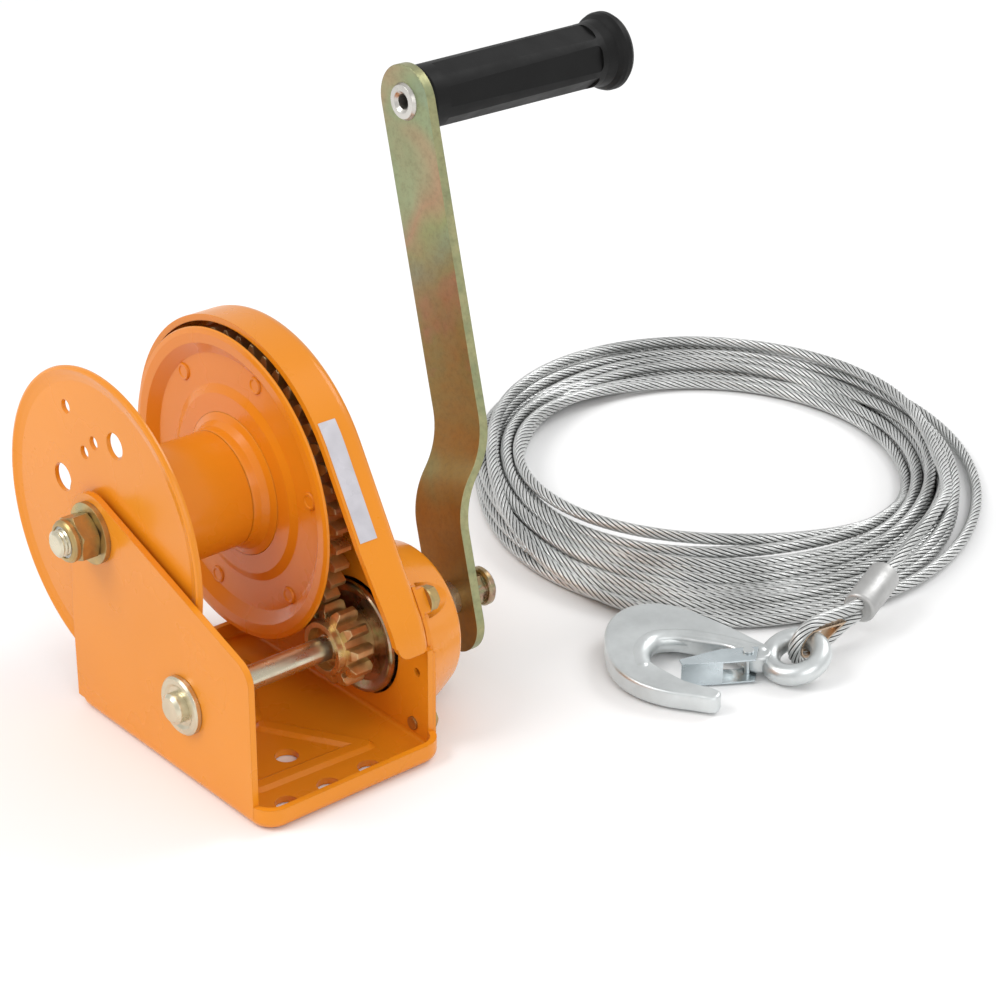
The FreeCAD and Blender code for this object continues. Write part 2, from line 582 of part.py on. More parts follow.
def pressure_disc():
    """Cupped brake disc fixed to the shaft, with the sleeve that the ratchet wheel turns on."""
    profile = [(THREAD_R, 44.6), (16.0, 44.6), (21.0, 43.9), (24.6, 42.3), (25.7, 42.1), (26.4, 42.9),
               (26.5, 44.4), (25.4, 46.4), (23.0, 47.8), (20.0, 48.0), (SLEEVE_R, 48.0), (SLEEVE_R, 58.0),
               (THREAD_R, 58.0)]
    return turned(profile, SHAFT_X, SHAFT_Z)


def end_washer():
    return tube(10.8, 5.0, 103.0, 105.3, SHAFT_X, SHAFT_Z)


def end_nut():
    """Nut with a round collar at its far end, which stops the crank hub from unscrewing."""
    body = hexagon_nut(13.0, 105.3, 114.8, SHAFT_X, SHAFT_Z, 0.2)
    collar = turned([(0, 114.2), (8.4, 114.2), (9.3, 115.2), (9.3, 117.2), (8.2, 118.4), (0, 118.4)],
                    SHAFT_X, SHAFT_Z)
    return body.fuse(collar).cut(rod(5.0, 100, 130, SHAFT_X, SHAFT_Z)).removeSplitter()


# ---------------------------------------------------------------- load brake
def ratchet_wheel():
    """Ratchet wheel: each tooth has a radial face and a back that falls away evenly."""
    pitch = 2 * math.pi / RATCHET_TEETH
    edges = []
    middle_r = (RATCHET_TIP_R + RATCHET_ROOT_R) / 2
    for i in range(RATCHET_TEETH):
        face = RATCHET_FACE - pitch * i
        root = polar(SHAFT_X, SHAFT_Z, RATCHET_ROOT_R, face)
        tip = polar(SHAFT_X, SHAFT_Z, RATCHET_TIP_R, face)
        back = polar(SHAFT_X, SHAFT_Z, middle_r, face - pitch / 2)
        following = polar(SHAFT_X, SHAFT_Z, RATCHET_ROOT_R, face - pitch)
        edges.append(Part.makeLine(root, tip))
        edges.append(Part.Arc(tip, back, following).toShape())
    wheel = slab(Part.Wire(edges), RATCHET_Y[0], RATCHET_Y[1])
    return wheel.cut(rod(SLEEVE_R + RUNNING, 40, 70, SHAFT_X, SHAFT_Z))


def friction_disc(y0):
    return tube(22.0, SLEEVE_R + 0.3, y0, y0 + 1.9, SHAFT_X, SHAFT_Z)


def pawl():
    """Pawl whose tip stands in a tooth gap of the ratchet wheel."""
    tip = math.radians(73.2)
    corners = [polar(SHAFT_X, SHAFT_Z, radius, angle) for radius, angle in (
        (24.2, tip), (26.9, math.radians(88)), (29.4, math.radians(103)), (34.5, PAWL_ANGLE),
        (39.0, math.radians(105)), (32.0, math.radians(84)), (27.2, tip))]
    blade = slab(Part.makePolygon(corners + corners[:1]), 50.6, 55.8)
    boss = rod(5.3, 50.6, 55.8, PAWL_X, PAWL_Z)
    return blade.fuse(boss).cut(rod(PAWL_PIN_R + RUNNING, 40, 70, PAWL_X, PAWL_Z)).removeSplitter()


# ---------------------------------------------------------------- crank
def drive_hub():
    """Hub with an internal thread: its flange presses the brake, its tenon carries the arm."""
    profile = [(THREAD_R + RUNNING, 58.3), (22.0, 58.3), (22.0, 62.5), (11.0, 63.5), (11.0, 83.0),
               (HUB_END_R, 84.5), (HUB_END_R, ARM_LOW_Y), (TENON_R, ARM_LOW_Y), (TENON_R, ARM_LOW_Y + ARM_SHEET),
               (THREAD_R + RUNNING, ARM_LOW_Y + ARM_SHEET)]
    return turned(profile, SHAFT_X, SHAFT_Z)


def lean(shape):
    """Turn something drawn with the crank upright to the crank's rest position."""
    shape.rotate(V(SHAFT_X, 0, SHAFT_Z), Y_AXIS, -math.degrees(CRANK_LEAN))
    return shape


def crank_arm():
    """Flat bar with round ends and a joggle, with the slot under the hub."""
    half = ARM_WIDTH / 2
    outline = belt([(SHAFT_X, SHAFT_Z - ARM_TAIL, half), (SHAFT_X, SHAFT_Z + CRANK_LENGTH, half)])
    body = slab(outline, ARM_LOW_Y - 1, ARM_LOW_Y + ARM_STEP + ARM_SHEET + 1)
    low_z, high_z = SHAFT_Z + 33.0, SHAFT_Z + 82.0
    near = bar_edge(ARM_LOW_Y, ARM_LOW_Y + ARM_STEP, low_z, high_z)
    far = bar_edge(ARM_LOW_Y + ARM_SHEET, ARM_LOW_Y + ARM_STEP + ARM_SHEET, low_z - 0.9, high_z - 0.9)
    bottom, top = near[0], near[-1]
    far_bottom, far_top = far[0], far[-1]
    edges = near[1:-1] + [Part.makeLine(top, far_top)] + far[1:-1] + [Part.makeLine(far_bottom, bottom)]
    side = Part.Face(Part.Wire(Part.__sortEdges__(edges)))
    side.translate(V(-40, 0, 0))
    strip = side.extrude(V(120, 0, 0))
    body = body.common(strip)
    body = body.cut(rod(TENON_R, 90, 110, SHAFT_X, SHAFT_Z))
    body = body.cut(rod(SPINDLE_R, 110, 130, SHAFT_X, SHAFT_Z + CRANK_LENGTH))
    slot = belt([(SHAFT_X, SHAFT_Z - 17.5, 2.4), (SHAFT_X, SHAFT_Z - 14.0, 2.4)])
    body = body.cut(slab(slot, 90, 110))
    return lean(body)


def bar_edge(low_y, high_y, low_z, high_z):
    """One face of the joggled bar in side view: two straights and an S of two arcs."""
    start = V(0, low_y, SHAFT_Z - 60)
    end = V(0, high_y, SHAFT_Z + 300)
    first = V(0, low_y, low_z)
    last = V(0, high_y, high_z)
    rise, run = high_y - low_y, high_z - low_z
    radius = (rise * rise + run * run) / 4 / rise
    half = math.asin(run / 2 / radius) / 2
    middle = V(0, (low_y + high_y) / 2, (low_z + high_z) / 2)
    quarter = V(0, low_y + radius * (1 - math.cos(half)), low_z + radius * math.sin(half))
    three = V(0, high_y - radius * (1 - math.cos(half)), high_z - radius * math.sin(half))
    return [start,
            Part.makeLine(start, first),
            Part.Arc(first, quarter, middle).toShape(),
            Part.Arc(middle, three, last).toShape(),
            Part.makeLine(last, end),
            end]


def grip_spindle():
    """Hollow rivet that the grip turns on, flared at both ends."""
    near_y = ARM_LOW_Y + ARM_STEP
    profile = [(3.4, near_y - 0.6), (5.0, near_y - 1.8), (7.6, near_y - 1.6), (8.6, near_y), (SPINDLE_R, near_y),
               (SPINDLE_R, 236.6), (8.0, 236.6), (8.0, 238.0), (3.4, 238.0)]
    return turned(profile, GRIP_X, GRIP_Z)


def grip_washer():
    return tube(10.0, SPINDLE_R, ARM_LOW_Y + ARM_STEP + ARM_SHEET, GRIP_Y[0] - 0.3, GRIP_X, GRIP_Z)


def grip():
    """Hollow handle with long shallow panels and an end flange."""
    y0, y1 = GRIP_Y
    body = turned([(0, y0), (13.2, y0), (14.4, y0 + 1.6), (GRIP_R, y1 - 14.0), (15.8, y1 - 8.5),
                   (17.6, y1 - 6.5), (18.3, y1 - 4.5), (18.3, y1 - 2.0), (17.0, y1), (0, y1)], GRIP_X, GRIP_Z)
    for i in range(6):
        panel = rounded_box(-6.4, 6.4, y0 + 9.0, y1 - 17.0, GRIP_R - 1.3, GRIP_R + 4, 3.0, Z_AXIS)
        panel.rotate(V(0, 0, 0), Y_AXIS, 60 * i + 20)
        panel.translate(V(GRIP_X, 0, GRIP_Z))
        body = body.cut(panel)
    body = body.cut(rod(SPINDLE_R + RUNNING, y0 - 1, y1 + 1, GRIP_X, GRIP_Z))
    return body.cut(rod(9.0, 236.3, y1 + 1, GRIP_X, GRIP_Z))


# ---------------------------------------------------------------- rope
def coil_ellipse(centre_u, centre_v, half_u, half_v, z):
    """Ellipse on the coil's turned axes."""
    across = V(math.cos(COIL_TURN), math.sin(COIL_TURN), 0)
    along = V(-math.sin(COIL_TURN), math.cos(COIL_TURN), 0)
    centre = across * centre_u + along * centre_v + V(0, 0, z)
    if half_u > half_v:
        curve = Part.Ellipse(centre + across * half_u, centre + along * half_v, centre)
    else:
        curve = Part.Ellipse(centre + along * half_v, centre - across * half_u, centre)
    return Part.Wire(curve.toShape())


def rope_coil():
    """Outer shape of the coiled rope: an oval ring that narrows towards its top."""
    u, v, a, b = COIL_OUTER
    outer = Part.makeLoft([coil_ellipse(u, v, a, b, 0), coil_ellipse(u, v, a, b, 7),
                           coil_ellipse(u - 4, v + 10, a - 18, b - 30, COIL_HEIGHT)], True, True)
    u, v, a, b = COIL_INNER
    inner = Part.makeLoft([coil_ellipse(u, v, a, b, -1), coil_ellipse(u, v, a, b, COIL_HEIGHT + 1)], True, True)
    return outer.cut(inner)


def rounded_path(points):
    """Straight runs joined by tangent arcs that are as large as the runs allow."""
    edges = []
    radii = []
    here = points[0]
    for i in range(1, len(points) - 1):
        before, corner, after = points[i - 1], points[i], points[i + 1]
        into = (corner - before)
        out = (after - corner)
        shorter = min(into.Length, out.Length)
        into = V(into).normalize()
        out = V(out).normalize()
        turn = into.getAngle(out)
        cut = 0.45 * shorter
        radius = cut / math.tan(turn / 2)
        first = corner - into * cut
        last = corner + out * cut
        inward = (out - into).normalize()
        centre = corner + inward * (radius / math.cos(turn / 2))
        middle = centre - inward * radius
        edges.append(Part.makeLine(here, first))
        edges.append(Part.Arc(first, middle, last).toShape())
        radii.append(round(radius, 1))
        here = last
    edges.append(Part.makeLine(here, points[-1]))
    return Part.Wire(edges), radii


def swept(points, radius, name):
    """Round bar along a path of runs and arcs; prints its radii and how full it is."""
    path, radii = rounded_path(points)
    direction = (points[1] - points[0]).normalize()
    section = Part.Wire(Part.makeCircle(radius, points[0], direction))
    solid = path.makePipeShell([section], True, False)
    expected = math.pi * radius * radius * path.Length
    print("%s: length %.0f, radii %s, volume over section times length %.3f" % (
        name, path.Length, radii, solid.Volume / expected))
    return solid


FERRULE_A = V(106.5, 293.0, 20.0)     # mouth towards the coil
FERRULE_B = V(116.0, 264.5, 15.6)     # mouth towards the eye
FERRULE_R = 8.0
ROPE_TAIL = [V(74.5, 377.5, 27.5), V(88.0, 350.0, 28.5), V(98.5, 320.0, 25.0), FERRULE_A]


def rope_tail():
    """Stretch of rope from the coil to the ferrule."""
    return swept(ROPE_TAIL, ROPE_D / 2, "rope_tail")


def ferrule():
    """Oval pressed sleeve that closes the rope's eye."""
    axis = FERRULE_B - FERRULE_A
    body = Part.makeCylinder(FERRULE_R, axis.Length, FERRULE_A, axis)
    ends = [e for e in body.Edges if isinstance(e.Curve, Part.Circle)]
    return body.makeFillet(1.6, ends)


def eye_frame():
    """Directions along and across the rope's eye, which stands upright in the hook's ring."""
    along = V(HOOK_EYE_END - FERRULE_B).normalize()
    normal = along.cross(V(0.13, -0.11, 0.98)).normalize()
    return along, normal.cross(along)


HOOK_EYE_END = V(120.0, 217.0, 12.6)
EYE_LOOP_R = 9.8


def eye_points(half_width):
    """Teardrop of the rope's eye, from the ferrule round the far end and back."""
    along, across = eye_frame()
    length = (HOOK_EYE_END - FERRULE_B).Length
    root = FERRULE_B
    shape = ((0.0, 3.0), (9.0, 3.4), (18.0, half_width * 0.62), (length - 12.0, half_width),
             (length - 3.0, half_width * 0.78), (length + 1.0, 0.0))
    side = [root + along * s + across * w for s, w in shape]
    back = [root + along * s - across * w for s, w in reversed(shape[:-1])]
    return side + back


def rope_eye():
    """The rope's own loop beyond the ferrule."""
    return swept(eye_points(EYE_LOOP_R), ROPE_D / 2, "rope_eye")


def thimble():
    """Bright sheet liner inside the rope's eye, drawn as one thin band."""
    along, across = eye_frame()
    normal = along.cross(across)
    length = (HOOK_EYE_END - FERRULE_B).Length
    outer = Part.Face(teardrop(along, across, 12.0, length - 2.4, 7.1))
    inner = Part.Face(teardrop(along, across, 16.0, length - 3.2, 6.3))
    outer.translate(normal * -2.6)
    inner.translate(normal * -4.0)
    return outer.extrude(normal * 5.2).cut(inner.extrude(normal * 8.0))


def teardrop(along, across, start, reach, half_width):
    """Closed teardrop: a point near the ferrule and a half circle at the far end."""
    centre = FERRULE_B + along * (reach - half_width)
    point = FERRULE_B + along * start
    gap = (centre - point).Length
    touch = math.asin(half_width / gap)
    lift = along * (-half_width * math.sin(touch)) + across * (half_width * math.cos(touch))
    drop = along * (-half_width * math.sin(touch)) - across * (half_width * math.cos(touch))
    return Part.Wire([Part.makeLine(point, centre + lift),
                      Part.Arc(centre + lift, centre + along * half_width, centre + drop).toShape(),
                      Part.makeLine(centre + drop, point)])


# ---------------------------------------------------------------- hook
def hook_place(shape):
    """Move something drawn flat, with the hook's eye at the origin, to where the hook lies.

    It is drawn with +X from the bowl towards the eye and +Y away from the open side.
    """
    shape.rotate(V(0, 0, 0), V(1, 0, 0), math.degrees(HOOK_TILT))
    shape.rotate(V(0, 0, 0), Y_AXIS, -0.5)
    shape.rotate(V(0, 0, 0), Z_AXIS, math.degrees(COIL_TURN))
    shape.translate(HOOK_ORIGIN - V(0, 0, HOOK_DROP))
    return shape


def flat_outline(points):
    """Closed smooth outline through points given as (x, y)."""
    curve = Part.BSplineCurve()
    curve.interpolate([V(x, y, 0) for x, y in points], PeriodicFlag=True)
    return Part.Wire(curve.toShape())


def hook():
    """Forged snap hook: flat bowl, pointed tip, and a round eye."""
    rim = [(-13, 7), (-26, 20), (-44, 35), (-61, 43), (-76, 39.5), (-85, 27), (-87.5, 6), (-83, -14),
           (-72, -27), (-58, -34), (-46, -37), (-38.5, -37.5), (-36.5, -34), (-47, -26), (-60, -15.5), (-68.5, -3),
           (-66, 9), (-57, 12.5), (-44, 9.5), (-28, 3.5), (-18, -5), (-12, -3)]
    body = Part.Face(flat_outline(rim)).extrude(V(0, 0, HOOK_THICK))
    body.translate(V(0, 0, -HOOK_THICK / 2))
    body = body.makeFillet(1.6, [e for e in body.Edges if abs(e.BoundBox.ZLength) < 0.01])
    ridge = swept([V(x, y, 0) for x, y in RIDGE], RIDGE_R, "hook ridge")
    ends = [Part.makeSphere(RIDGE_R, V(x, y, 0)) for x, y in (RIDGE[0], RIDGE[-1])]
    pin_hole = Part.makeCylinder(1.5, 40, V(LATCH_PIVOT[0], LATCH_PIVOT[1], -20))
    body = hook_place(body.fuse([ridge] + ends).cut(pin_hole))
    ring = Part.makeTorus(EYE_R, EYE_BAR_R, V(0, 0, 0), Z_AXIS)
    bore = Part.makeCylinder(EYE_R - EYE_BAR_R + 0.3, 60, V(0, 0, -30))
    for piece in (ring, bore):
        piece.rotate(V(0, 0, 0), V(-1, 0, 0), -RING_TWIST)
        piece.translate(HOOK_ORIGIN)
    return body.fuse(ring).cut(bore)


RIDGE = ((-71.0, -10.0), (-72.5, 4.0), (-65.0, 16.5), (-50.0, 17.0), (-34.0, 12.5), (-16.0, 3.0))
RIDGE_R = 5.3


LATCH_PIVOT = (-22.0, -2.0)


def latch():
    """Folded sheet gate that closes the hook's throat from the inside."""
    x, y = LATCH_PIVOT
    half = HOOK_THICK / 2
    cheeks = []
    for side in (-1, 1):
        z = side * (half + 0.8)
        plate = Part.Face(Part.makePolygon([V(x + 5, y + 4, z), V(x - 12, y + 2, z), V(x - 32, y - 7, z),
                                            V(x - 31, y - 11, z), V(x - 10, y - 9, z), V(x + 3, y - 7, z),
                                            V(x + 5, y + 4, z)]))
        cheeks.append(plate.extrude(V(0, 0, side * 0.8)))
    back = Part.Face(Part.makePolygon([V(x - 12, y - 9.2, -half - 1.6), V(x - 31, y - 11.2, -half - 1.6),
                                       V(x - 31.2, y - 10.2, -half - 1.6), V(x - 12, y - 8.2, -half - 1.6),
                                       V(x - 12, y - 9.2, -half - 1.6)]))
    web = back.extrude(V(0, 0, HOOK_THICK + 3.2))
    body = cheeks[0].fuse([cheeks[1], web])
    return hook_place(body.cut(Part.makeCylinder(1.5 + RUNNING, 40, V(x, y, -20))))


def latch_pin():
    x, y = LATCH_PIVOT
    half = HOOK_THICK / 2 + 1.7
    shank = Part.makeCylinder(1.5, 2 * half + 1.6, V(x, y, -half - 0.8))
    heads = [Part.makeCylinder(2.6, 0.8, V(x, y, z)) for z in (-half - 0.8, half)]
    return hook_place(shank.fuse(heads))


# ---------------------------------------------------------------- build
SUB_PARTS = {
    "base_channel": base_channel,
    "gear_guard": gear_guard,
    "brake_cover": brake_cover,
    "cover_bolts": cover_bolts,
    "cover_washers": cover_washers,
    "drum_axle": drum_axle,
    "axle_washers": axle_washers,
    "axle_nut": axle_nut,
    "axle_nut_insert": axle_nut_insert,
    "axle_spacers": axle_spacers,
    "shaft_bush": shaft_bush,
    "cover_bush": cover_bush,
    "pawl_pin": pawl_pin,
    "pawl_spring": pawl_spring,
    "warning_label": warning_label,
    "drum_barrel": drum_barrel,
    "near_flange": near_flange,
    "far_flange": far_flange,
    "drum_gear": drum_gear,
    "flange_rivets": flange_rivets,
    "drum_bushes": drum_bushes,
    "barrel_welds": barrel_welds,
    "pinion_shaft": pinion_shaft,
    "shaft_washer": shaft_washer,
    "pinion": pinion,
    "pressure_disc": pressure_disc,
    "end_washer": end_washer,
    "end_nut": end_nut,
    "ratchet_wheel": ratchet_wheel,
    "friction_disc_inner": lambda: friction_disc(48.2),
    "friction_disc_outer": lambda: friction_disc(RATCHET_Y[1]),
    "pawl": pawl,
    "drive_hub": drive_hub,
    "crank_arm": crank_arm,
    "grip_spindle": grip_spindle,
    "grip_washer": grip_washer,
    "grip": grip,
    "rope_coil": rope_coil,
    "rope_tail": rope_tail,
    "ferrule": ferrule,
    "rope_eye": rope_eye,
    "thimble": thimble,
    "hook": hook,
    "latch": latch,
    "latch_pin": latch_pin,
}

os.makedirs("parts", exist_ok=True)
for part_name, make in SUB_PARTS.items():
    save(part_name, make())
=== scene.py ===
"""Looks for a boat trailer winch with its coiled wire rope.

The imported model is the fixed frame.  This script dresses its nodes with procedural
materials, replaces the plain rope solids with laid wire rope, and sets a plain studio.
Everything is in metres, in the frame of the model.
"""
import math

import bpy
from mathutils import Matrix, Vector, noise


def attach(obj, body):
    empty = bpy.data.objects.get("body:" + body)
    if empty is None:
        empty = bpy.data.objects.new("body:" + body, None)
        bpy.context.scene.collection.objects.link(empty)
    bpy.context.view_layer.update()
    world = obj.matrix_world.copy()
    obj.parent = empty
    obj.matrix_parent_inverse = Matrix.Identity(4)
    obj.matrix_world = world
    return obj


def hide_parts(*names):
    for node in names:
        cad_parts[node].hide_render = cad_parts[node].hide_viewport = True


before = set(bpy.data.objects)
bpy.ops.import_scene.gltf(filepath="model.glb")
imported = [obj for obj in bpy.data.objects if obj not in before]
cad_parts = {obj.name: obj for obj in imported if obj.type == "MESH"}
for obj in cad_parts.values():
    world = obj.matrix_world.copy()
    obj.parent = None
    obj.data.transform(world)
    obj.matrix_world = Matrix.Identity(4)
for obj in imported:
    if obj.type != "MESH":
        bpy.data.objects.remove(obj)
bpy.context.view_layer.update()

MM = 0.001

CAMERA_PLACE = (0.8298, -0.5780, 0.6156)
CAMERA_AZIMUTH = math.radians(49.08)
CAMERA_ELEVATION = math.radians(26.51)
CAMERA_ROLL = math.radians(0.48)
CAMERA_LENS = 95.18
SENSOR_WIDTH = 36.0


# ---------------------------------------------------------------- camera
def make_camera():
    """Long lens from the front right, slightly above."""
    data = bpy.data.cameras.new("camera")
    data.sensor_width = SENSOR_WIDTH
    data.lens = CAMERA_LENS
    data.clip_start = 0.05
    data.clip_end = 20.0
    camera = bpy.data.objects.new("camera", data)
    bpy.context.scene.collection.objects.link(camera)
    camera.location = CAMERA_PLACE
    level = math.cos(CAMERA_ELEVATION)
    away = Vector((-math.sin(CAMERA_AZIMUTH) * level, math.cos(CAMERA_AZIMUTH) * level,
                   -math.sin(CAMERA_ELEVATION)))
    camera.rotation_mode = "QUATERNION"
    camera.rotation_quaternion = away.to_track_quat("-Z", "Y")
    camera.rotation_quaternion @= Matrix.Rotation(CAMERA_ROLL, 3, "Z").to_quaternion()
    bpy.context.scene.camera = camera


make_camera()


# ---------------------------------------------------------------- materials
class Look:
    """Small helper that builds one node material."""

    def __init__(self, name):
        self.material = bpy.data.materials.new(name)
        self.material.use_nodes = True
        self.nodes = self.material.node_tree.nodes
        self.links = self.material.node_tree.links
        self.shader = self.nodes["Principled BSDF"]
        self.position = self.nodes.new("ShaderNodeTexCoord").outputs["Object"]

    def set(self, **values):
        """Set the shader's own sockets: base_color=..., metallic=..., roughness=..."""
        for key, value in values.items():
            socket = self.shader.inputs[key.replace("_", " ").title().replace("Ior", "IOR")]
            socket.default_value = value
        return self

    def noise(self, scale, detail=3.0, roughness=0.5, distortion=0.0):
        """Noise over the piece's own coordinates."""
        node = self.nodes.new("ShaderNodeTexNoise")
        node.inputs["Scale"].default_value = scale
        node.inputs["Detail"].default_value = detail
        node.inputs["Roughness"].default_value = roughness
        node.inputs["Distortion"].default_value = distortion
        self.links.new(self.position, node.inputs["Vector"])
        return node.outputs["Fac"]

    def ramp(self, value, stops):
        """Colour ramp; the stops are (position, colour or grey)."""
        node = self.nodes.new("ShaderNodeValToRGB")
        elements = node.color_ramp.elements
        while len(elements) < len(stops):
            elements.new(0.5)
        for element, (position, colour) in zip(elements, stops):
            element.position = position
            if not hasattr(colour, "__len__"):
                colour = (colour, colour, colour)
            element.color = (*colour[:3], 1.0)
        self.links.new(value, node.inputs["Fac"])
        return node.outputs["Color"]

    def mix(self, factor, first, second):
        """Blend of two colours, each a socket or a colour."""
        node = self.nodes.new("ShaderNodeMix")
        node.data_type = "RGBA"
        for socket, value in ((node.inputs[0], factor), (node.inputs[6], first), (node.inputs[7], second)):
            if isinstance(value, bpy.types.NodeSocket):
                self.links.new(value, socket)
            elif hasattr(value, "__len__"):
                socket.default_value = (*value[:3], 1.0)
            else:
                socket.default_value = value
        return node.outputs[2]

    def bump(self, height, strength, distance=0.001, round_edges=0.0):
        """Relief from a height, and edges rounded by the given radius where one is given."""
        node = self.nodes.new("ShaderNodeBump")
        node.inputs["Strength"].default_value = strength
        node.inputs["Distance"].default_value = distance
        self.links.new(height, node.inputs["Height"])
        if round_edges:
            bevel = self.nodes.new("ShaderNodeBevel")
            bevel.samples = 4
            bevel.inputs["Radius"].default_value = round_edges
            self.links.new(bevel.outputs["Normal"], node.inputs["Normal"])
        self.links.new(node.outputs["Normal"], self.shader.inputs["Normal"])
        return self

    def drive(self, socket, value):
        """Feed one of the shader's sockets from another node."""
        self.links.new(value, self.shader.inputs[socket])
        return self


def painted_orange():
    """Glossy orange-yellow powder coat with slight orange peel."""
    look = Look("orange_paint")
    look.set(metallic=0.0, coat_weight=0.22, coat_roughness=0.12, specular_ior_level=0.28)
    patches = look.noise(9.0, 2.0)
    base = look.ramp(patches, ((0.3, (0.74, 0.240, 0.008)), (0.7, (0.80, 0.268, 0.012))))
    look.drive("Base Color", base)
    look.drive("Roughness", look.ramp(look.noise(30.0, 3.0), ((0.3, 0.24), (0.7, 0.34))))
    look.bump(look.noise(650.0, 2.0), 0.05, 0.0004, 0.0006)
    return look.material


def yellow_zinc(name, scale, tones, roughness=(0.26, 0.42), metallic=0.92):
    """Yellow chromate on zinc: metal whose tint drifts between straw, olive, pink and blue."""
    look = Look(name)
    look.set(metallic=metallic, specular_ior_level=0.5)
    drift = look.noise(scale, 3.0, 0.55, distortion=0.6)
    colour = look.ramp(drift, tones)
    fine = look.noise(260.0, 4.0, 0.6)
    colour = look.mix(look.ramp(fine, ((0.35, 0.0), (0.75, 0.35))), colour, (0.30, 0.26, 0.16))
    look.drive("Base Color", colour)
    look.drive("Roughness", look.ramp(look.noise(60.0, 4.0), ((0.3, roughness[0]), (0.7, roughness[1]))))
    look.bump(look.noise(900.0, 3.0), 0.10, 0.0003, 0.0005)
    return look.material


def arm_zinc():
    """Yellow zinc on the crank arm: golden brown at the hub, olive and green with pink higher up."""
    look = Look("arm_zinc")
    look.set(metallic=0.9, specular_ior_level=0.5)
    split = look.nodes.new("ShaderNodeSeparateXYZ")
    look.links.new(look.position, split.inputs["Vector"])
    height = look.nodes.new("ShaderNodeMapRange")
    height.inputs["From Min"].default_value = 0.02
    height.inputs["From Max"].default_value = 0.27
    look.links.new(split.outputs["Z"], height.inputs["Value"])
    drift = look.noise(14.0, 4.0, 0.6, distortion=0.8)
    place = look.nodes.new("ShaderNodeMath")
    place.operation = "MULTIPLY_ADD"
    place.inputs[1].default_value = 0.9
    look.links.new(drift, place.inputs[0])
    look.links.new(height.outputs["Result"], place.inputs[2])
    tones = look.ramp(place.outputs[0], (
        (0.42, (0.24, 0.125, 0.025)), (0.62, (0.33, 0.20, 0.05)), (0.80, (0.36, 0.25, 0.09)),
        (0.94, (0.30, 0.28, 0.12)), (1.0, (0.36, 0.24, 0.15))))
    # above the middle of the arm the tint turns green, with pink and bluish clouds
    upper = look.ramp(look.noise(11.0, 3.0, 0.5, distortion=1.2), (
        (0.34, (0.24, 0.36, 0.25)), (0.46, (0.30, 0.34, 0.16)), (0.54, (0.42, 0.28, 0.17)),
        (0.62, (0.29, 0.34, 0.19)), (0.72, (0.22, 0.33, 0.30))))
    share = look.ramp(height.outputs["Result"], ((0.45, 0.0), (0.75, 1.0)))
    face = look.mix(share, tones, upper)
    normal = look.nodes.new("ShaderNodeTexCoord").outputs["Normal"]
    facing = look.nodes.new("ShaderNodeSeparateXYZ")
    look.links.new(normal, facing.inputs["Vector"])
    broad = look.nodes.new("ShaderNodeMath")
    broad.operation = "ABSOLUTE"
    look.links.new(facing.outputs["Y"], broad.inputs[0])
    cut_edge = look.ramp(look.noise(120.0, 3.0), ((0.3, (0.30, 0.33, 0.18)), (0.7, (0.44, 0.42, 0.22))))
    colour = look.mix(look.ramp(broad.outputs[0], ((0.35, 0.0), (0.5, 1.0))), cut_edge, face)
    speck = look.noise(420.0, 4.0, 0.7)
    colour = look.mix(look.ramp(speck, ((0.45, 0.0), (0.8, 0.45))), colour, (0.16, 0.13, 0.07))
    look.drive("Base Color", colour)
    look.drive("Roughness", look.ramp(look.noise(80.0, 4.0), ((0.3, 0.30), (0.7, 0.44))))
    look.bump(look.noise(1100.0, 3.0), 0.14, 0.0003, 0.0005)
    return look.material


def bright_zinc(name, colour, roughness=(0.22, 0.38)):
    """Bright zinc plate over a forged or turned surface."""
    look = Look(name)
    look.set(metallic=0.95)
    cloud = look.noise(45.0, 4.0, 0.6)
    darker = tuple(c * 0.78 for c in colour)
    look.drive("Base Color", look.ramp(cloud, ((0.3, darker), (0.7, colour))))
    look.drive("Roughness", look.ramp(look.noise(120.0, 4.0), ((0.3, roughness[0]), (0.7, roughness[1]))))
    look.bump(look.noise(700.0, 3.0), 0.12, 0.0003, 0.0004)
    return look.material


def plain(name, colour, metallic, roughness, grain=400.0, strength=0.1, specular=0.5):
    """Quiet material for pieces that are mostly hidden."""
    look = Look(name)
    look.set(metallic=metallic, specular_ior_level=specular)
    darker = tuple(c * 0.8 for c in colour)
    look.drive("Base Color", look.ramp(look.noise(70.0, 3.0), ((0.35, darker), (0.65, colour))))
    look.drive("Roughness", look.ramp(look.noise(90.0, 3.0), ((0.3, roughness - 0.06), (0.7, roughness + 0.06))))
    look.bump(look.noise(grain, 3.0), strength, 0.0003)
    return look.material


def wire_rope():
    """Galvanised strands, with painted shade near black in the grooves between them and a faint darker line
    along each crown.
    """
    look = Look("wire_rope")
    look.set(metallic=0.85)
    uv = look.nodes.new("ShaderNodeTexCoord").outputs["UV"]
    split = look.nodes.new("ShaderNodeSeparateXYZ")
    look.links.new(uv, split.inputs["Vector"])
    # V counts strands around the rope: its fractional part is 0 in a groove and 0.5 amid a crown
    groove = look.nodes.new("ShaderNodeMath")
    groove.operation = "PINGPONG"
    groove.inputs[1].default_value = 0.5
    look.links.new(split.outputs["Y"], groove.inputs[0])
    # painted shade: this mask is 0 in each groove between strands, where the mix below paints the rope near
    # black, and 0.62 amid each crown for a faint darker line
    crown = look.ramp(groove.outputs[0], ((0.06, 0.0), (0.20, 1.0), (0.38, 1.0), (0.5, 0.62)))
    patches = look.noise(25.0, 3.0)
    tone = look.ramp(patches, ((0.3, (0.58, 0.59, 0.58)), (0.7, (0.92, 0.93, 0.92))))
    # the near-black colour here is painted shade in the grooves between the strands
    colour = look.mix(crown, (0.018, 0.019, 0.018), tone)
    look.drive("Base Color", colour)
    look.drive("Roughness", look.ramp(look.noise(200.0, 3.0), ((0.3, 0.30), (0.7, 0.48))))
    look.bump(crown, 0.6, 0.0004)
    return look.material


